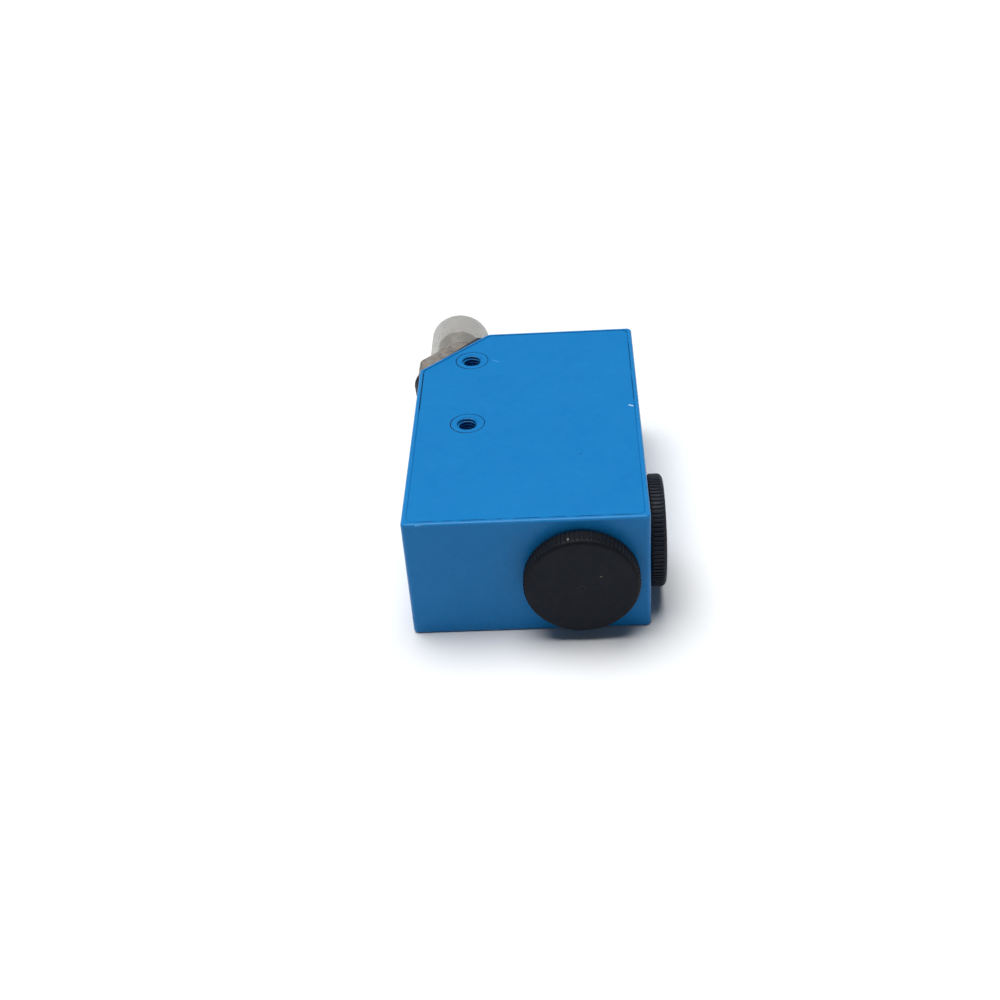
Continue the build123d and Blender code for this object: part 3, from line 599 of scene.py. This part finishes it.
def plug_thread():
    """The sleeve with its M12 x 1 thread cut in, in place of the plain CAD sleeve."""
    low, high = PLUG_LOW.y, PLUG_HIGH.y
    crest, root, bore, pitch = 5.98 * MM, 5.42 * MM, 4.9 * MM, 1.0 * MM
    collar, collar_r, collar_edge = (41.4 * MM, 43.4 * MM), 7.2 * MM, 0.25 * MM
    shank, slack = 5.99 * MM, 0.02 * MM
    thread_low = collar[1] + 0.9 * MM

    def outer(height, angle):
        if collar[0] - slack < height < collar[1] + slack:
            inward = min(height - collar[0], collar[1] - height)
            return collar_r - max(collar_edge - inward, 0.0)
        if height < collar[0]:
            return shank
        if height < thread_low:
            return root
        lead = min(1.0, (high - height) / (0.8 * MM))
        form = ridge(height, angle, pitch) * fade(height, thread_low, high, 0.5 * MM)
        return root - 0.15 * MM * (1 - lead) + (crest - root) * form

    def inner(height, angle):
        return bore + max(0.0, 0.35 * MM - (high - height))

    sleeve = ring_shell("plug_thread", PLUG, outer, inner, low, high, 300, 96, "nickel_brass", "swivel", 50)
    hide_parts("connector_sleeve")


def neck_threads():
    """The coarse thread on each screw-in neck."""
    neck, crest, pitch = 9.88 * MM, 10.24 * MM, 1.5 * MM
    low, high = -4.2 * MM, -0.35 * MM
    for name, place, body in (("blind_cap", BLIND, "blind_cap"), ("lens", LENS, "lens_unit")):

        def outer(height, angle):
            form = ridge(height, angle, pitch) * fade(height, low, high, 0.7 * MM)
            return neck + 0.03 * MM + (crest - neck - 0.03 * MM) * form

        ring_shell(f"{name}_neck_thread", place, outer, lambda height, angle: neck, low, high, 40, 144,
                   "black_cap_plastic", body)


def rounded_path(corners, radius, step):
    """Points along a closed polygon with rounded corners, about step apart."""
    points = []
    for index, corner in enumerate(corners):
        before = (corners[index - 1] - corner).normalized()
        after = (corners[(index + 1) % len(corners)] - corner).normalized()
        half = before.angle(after) / 2
        centre = corner + (before + after).normalized() * (radius / sin(half))
        start = corner + before * (radius / tan(half)) - centre
        end = corner + after * (radius / tan(half)) - centre
        turn = start.angle_signed(end)
        pieces = max(4, round(abs(turn) * radius / step))
        points += [centre + Matrix.Rotation(-turn * k / pieces, 2) @ start for k in range(pieces + 1)]
    spaced = []
    for index, point in enumerate(points):
        following = points[(index + 1) % len(points)]
        pieces = max(1, round((following - point).length / step))
        spaced += [point.lerp(following, k / pieces) for k in range(pieces)]
    return spaced


def seam_paint():
    """Paint that has run into the seam round the cover: nearly full in front, open along the sides."""
    inset, half_gap, radius = 1.05 * MM, 0.05 * MM, 1.5 * MM
    low_x, high_x = HOUSING_LOW.x + inset, HOUSING_HIGH.x - inset
    low_y, high_y = HOUSING_LOW.y + inset, HOUSING_HIGH.y - inset
    leg = 2 * (SWIVEL_AT.x - HOUSING_LOW.x) - inset * (2 - sqrt(2))
    corners = [Vector(c) for c in ((low_x, low_y), (high_x, low_y), (high_x, high_y),
                                   (low_x + leg, high_y), (low_x, high_y - leg))]
    path = rounded_path(corners, radius, 0.4 * MM)

    def depth(index, point):
        ripple = 0.5 + 0.25 * sin(index * 0.41) + 0.25 * sin(index * 0.173 + 1.3)
        if point.y < low_y + 0.3 * MM:
            return (0.01 + 0.05 * ripple ** 2) * MM
        open_side = min(max((point.y / MM + 22) / 26, 0.0), 1.0)
        return (0.03 + open_side * (0.16 + 0.12 * ripple)) * MM

    points, faces = [], []
    count = len(path)
    for index, point in enumerate(path):
        along = (path[(index + 1) % count] - path[index - 1]).normalized()
        side = Vector((along.y, -along.x)) * (half_gap + 0.01 * MM)
        top = HOUSING_HIGH.z - depth(index, point)
        for across, z in ((1, top), (-1, top), (-1, top - 0.2 * MM), (1, top - 0.2 * MM)):
            points.append((*(point + side * across), z))
        here, there = 4 * index, 4 * ((index + 1) % count)
        faces += [(here + k, there + k, there + (k + 1) % 4, here + (k + 1) % 4) for k in range(4)]
    mesh_object("seam_paint", points, faces, "blue_paint", "housing", sharp=40)
    return path


def shade_strip(name, path, widths, closed=False):
    """A thin dark strip of painted shade that follows a path on the mounting face, as wide as widths gives at each
    point.
    """
    points, faces = [], []
    count = len(path)
    low, high = HOUSING_HIGH.z - 0.05 * MM, HOUSING_HIGH.z + 0.008 * MM
    for index, point in enumerate(path):
        before = path[index - 1] if index or closed else point
        after = path[(index + 1) % count] if index + 1 < count or closed else point
        along = (after - before).normalized()
        side = Vector((along.y, -along.x)) * widths[index] / 2
        for across, z in ((1, high), (-1, high), (-1, low), (1, low)):
            points.append((*(point + side * across), z))
    for index in range(count if closed else count - 1):
        here, there = 4 * index, 4 * ((index + 1) % count)
        faces += [(here + k, here + (k + 1) % 4, there + (k + 1) % 4, there + k) for k in range(4)]
    if not closed:
        last = 4 * (count - 1)
        faces += [(3, 2, 1, 0), (last, last + 1, last + 2, last + 3)]
    mesh_object(name, points, faces, "blue_paint", "housing", JOINT_SHADE, sharp=30)


def boss_shade_line():
    """Painted shade: a dark line round each threaded boss, in the gap where it comes up through the cover."""
    for number, centre in enumerate(mounting_bores()):
        angles = [tau * k / 96 for k in range(96)]
        path = [centre + Vector((cos(a), sin(a))) * BOSS_LINE_R for a in angles]
        widths = [(0.17 + 0.07 * sin(a - 1.8) + 0.03 * sin(3 * a + number)) * MM for a in angles]
        shade_strip(f"boss_shade_line_{number}", path, widths, closed=True)


def seam_shade_lines(path):
    """Painted shade in the seam: dark stretches, one open length on the left, broken ones on the right and in
    front.
    """
    def stretch(name, wanted, width):
        run = [point for point in path if wanted(point)]
        ends = min(len(run) // 3, 3)
        widths = [width * (0.35 + 0.65 * min(k, len(run) - 1 - k, ends) / ends) * (1 + 0.25 * sin(k * 1.7))
                  for k in range(len(run))]
        shade_strip(name, run, widths)

    left, right, front = path_sides(path)
    stretch("seam_grime_left", lambda p: p.x < left + 0.02 * MM and 4.6 * MM < p.y < 23.4 * MM, 0.24 * MM)
    for number, (low, high) in enumerate(((6, 17), (19, 33))):
        stretch(f"seam_grime_right_{number}",
                lambda p: p.x > right - 0.02 * MM and low * MM < p.y < high * MM, 0.08 * MM)
    dashes = ((-23.5, -19), (-17.8, -15.2), (-13.9, -8.1), (-6.2, -4.4), (-2.7, 3.3), (5.1, 8.8),
              (10.2, 16.6), (18.3, 23.2))
    for number, (low, high) in enumerate(dashes):
        stretch(f"seam_grime_front_{number}",
                lambda p: p.y < front + 0.02 * MM and low * MM < p.x < high * MM, 0.12 * MM)


def path_sides(path):
    """Lowest x, highest x and lowest y of a path."""
    return min(p.x for p in path), max(p.x for p in path), min(p.y for p in path)


def paint_drop():
    """A hardened run of paint on the front edge of the mounting face."""
    centre = Vector((-22.45 * MM, HOUSING_LOW.y + 0.12 * MM, HOUSING_HIGH.z - 0.2 * MM))
    size = Vector((0.75, 0.42, 0.3)) * MM
    points, faces = [], []
    rings, columns = 10, 20
    for ring in range(1, rings):
        polar = pi * ring / rings
        for column in range(columns):
            angle = tau * column / columns
            swell = 1 + 0.22 * sin(angle * 2 + 0.7) * sin(polar)
            direction = Vector((sin(polar) * cos(angle), sin(polar) * sin(angle), cos(polar)))
            points.append(centre + Vector(a * b for a, b in zip(direction * swell, size)))
    for ring in range(rings - 2):
        for column in range(columns):
            a, b = ring * columns + column, ring * columns + (column + 1) % columns
            faces.append((a, a + columns, b + columns, b))
    faces.append(tuple(range(columns)))
    faces.append(tuple(reversed(range((rings - 2) * columns, (rings - 1) * columns))))
    mesh_object("paint_drop", points, faces, "blue_paint", "housing")


mounting_threads()
plug_thread()
neck_threads()
def printed(name, place, strips, slot, ink):
    """Thin ink lines on a flat face: each strip is point pairs across the line, and whether it closes."""
    points, faces = [], []
    high, low = 0.012 * MM, -0.01 * MM
    for pairs, closed in strips:
        first, count = len(points), len(pairs)
        for a, b in pairs:
            points += [place @ Vector((*xy, z)) for xy, z in ((a, high), (b, high), (b, low), (a, low))]
        for k in range(count if closed else count - 1):
            here, there = first + 4 * k, first + 4 * ((k + 1) % count)
            faces += [(here + j, here + (j + 1) % 4, there + (j + 1) % 4, there + j) for j in range(4)]
        if not closed:
            last = first + 4 * (count - 1)
            faces += [(first + 3, first + 2, first + 1, first), (last, last + 1, last + 2, last + 3)]
    mesh_object(name, points, faces, slot, "housing", ink, sharp=30)


def arc(centre, radius, start, end, width, pieces=48):
    """A strip along an arc, with its angles in degrees."""
    closed = end - start >= 360
    angles = [radians(start + (end - start) * k / pieces) for k in range(pieces + (not closed))]
    rings = (radius - width / 2, radius + width / 2)
    return [tuple((centre[0] + r * cos(a), centre[1] + r * sin(a)) for r in rings) for a in angles], closed


def tick(centre, angle, low, high, width):
    """A short strip that points away from centre, with its angle in degrees."""
    away = Vector((cos(radians(angle)), sin(radians(angle))))
    side = Vector((-away.y, away.x)) * width / 2
    at = Vector(centre)
    return [(tuple(at + away * r - side), tuple(at + away * r + side)) for r in (low, high)], False


def frame_line(low, high, width):
    """A strip round a rectangle."""
    def corners(inset):
        return ((low[0] + inset, low[1] + inset), (high[0] - inset, low[1] + inset),
                (high[0] - inset, high[1] - inset), (low[0] + inset, high[1] - inset))
    return list(zip(corners(0), corners(width))), True


def panel_marks():
    """A ring round the teach button, a scale round the selector and a line round the window."""
    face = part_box("panel_frame")[1].y
    place = axes((0, face, 0), (0, 1, 0), (-1, 0, 0))
    centres = {}
    for node in ("teach_button", "rotary_selector", "panel_window"):
        low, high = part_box(node)
        centres[node] = (-(low.x + high.x) / 2, (low.z + high.z) / 2)
    low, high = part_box("panel_window")
    button, selector = centres["teach_button"], centres["rotary_selector"]
    fine, scale_start, scale_step, last_tick = 0.14 * MM, -45, 30, 9
    scale_end = scale_start + scale_step * last_tick
    strips = [arc(button, 4.35 * MM, 0, 360, 0.18 * MM, 72),
              arc(selector, 3.75 * MM, scale_start, scale_end, fine, 54)]
    for number in range(last_tick + 1):
        reach = (4.7 if number in (0, last_tick) else 4.35) * MM
        strips.append(tick(selector, scale_start + scale_step * number, 3.85 * MM, reach, 0.2 * MM))
    margin = 0.1 * MM
    strips.append(frame_line((-high.x - margin, low.z - margin), (-low.x + margin, high.z + margin), fine))
    printed("panel_marks", place, strips, "panel_plastic", WHITE_INK)


def label_print():
    """A border and blank fields on the type plate."""
    low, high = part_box("type_plate")
    place = axes((0, 0, low.z), (0, 0, -1), (1, 0, 0))
    border, line = 1.4 * MM, 0.22 * MM
    left, right, bottom, top = low.x + border, high.x - border, -high.y + border, -low.y - border
    strips = [frame_line((left, bottom), (right, top), line)]
    for upper, lower in ((3.0, 9.0), (11.0, 15.5), (17.5, 22.0), (24.0, 28.2)):
        strips.append(frame_line((left + 2 * MM, top - lower * MM),
                                 (right - 13 * MM, top - upper * MM), line))
    strips.append(frame_line((right - 10.5 * MM, top - 13 * MM), (right - 2 * MM, top - 3 * MM), line))
    strips.append(arc((right - 6.2 * MM, top - 21 * MM), 3.2 * MM, 0, 360, line, 72))
    printed("label_print", place, strips, "label_foil", BLACK_INK)


seam_shade_lines(seam_paint())
boss_shade_line()
paint_drop()
panel_marks()
label_print()


# Stage, light and camera

def stage():
    """A wide pale floor that the sensor lies on."""
    half, cells = 12.0, 24
    row = cells + 1
    points = [(half * (2 * i / cells - 1), half * (2 * j / cells - 1), -0.05 * MM)
              for j in range(row) for i in range(row)]
    faces = [(j * row + i, j * row + i + 1, (j + 1) * row + i + 1, (j + 1) * row + i)
             for j in range(cells) for i in range(cells)]
    mesh = bpy.data.meshes.new("floor")
    mesh.from_pydata(points, [], faces)
    floor = bpy.data.objects.new("floor", mesh)
    bpy.context.scene.collection.objects.link(floor)
    shader = Shader("floor_paper", (0.78, 0.79, 0.8), 0.9, specular_ior_level=0.1)
    shader.tint(shader.between(shader.noise(0.2, 2), 0.4, 0.7, 0, 0.3), (0.77, 0.78, 0.79))
    paint(floor, shader)


def lights():
    """One very soft light from above and a little behind, and the even light of a pale room."""
    light = bpy.data.lights.new("overhead", "SUN")
    light.energy = 4.1
    light.angle = radians(44)
    obj = bpy.data.objects.new("overhead", light)
    towards = Vector((-0.12, 0.14, 1.0))
    obj.location = towards
    obj.rotation_euler = (-towards).to_track_quat("-Z", "Y").to_euler()
    bpy.context.scene.collection.objects.link(obj)
    world = bpy.data.worlds.new("room")
    world.use_nodes = True
    background = world.node_tree.nodes["Background"]
    background.inputs["Color"].default_value = (0.86, 0.94, 1.0, 1)
    direction = world.node_tree.nodes.new("ShaderNodeTexCoord")
    height = world.node_tree.nodes.new("ShaderNodeSeparateXYZ")
    haze = world.node_tree.nodes.new("ShaderNodeMapRange")
    for socket, number in zip(haze.inputs[1:5], (0.02, 0.2, 1.25, 0.07)):
        socket.default_value = number
    world.node_tree.links.new(direction.outputs["Generated"], height.inputs[0])
    world.node_tree.links.new(height.outputs["Z"], haze.inputs[0])
    world.node_tree.links.new(haze.outputs[0], background.inputs["Strength"])
    bpy.context.scene.world = world


def camera():
    """The photograph's viewing angle: from above the short face with the blind cap, slightly rolled."""
    yaw, down, roll = radians(-3.91), radians(36.19), radians(-4.52)
    forward = Vector((sin(yaw) * cos(down), cos(yaw) * cos(down), -sin(down)))
    level = Vector((cos(yaw), -sin(yaw), 0))
    upright = level.cross(forward)
    right = level * cos(roll) + upright * sin(roll)
    up = upright * cos(roll) - level * sin(roll)
    lens = bpy.data.cameras.new("camera")
    lens.sensor_width = 36.0
    lens.lens = 50.58
    lens.clip_start = 0.01
    obj = bpy.data.objects.new("camera", lens)
    turned = Matrix((right, up, -forward)).transposed().to_4x4()
    obj.matrix_world = Matrix.Translation((0.01122, -0.27529, 0.20869)) @ turned
    bpy.context.scene.collection.objects.link(obj)
    bpy.context.scene.camera = obj


stage()
lights()
camera()
bpy.context.scene.view_settings.view_transform = "Standard"
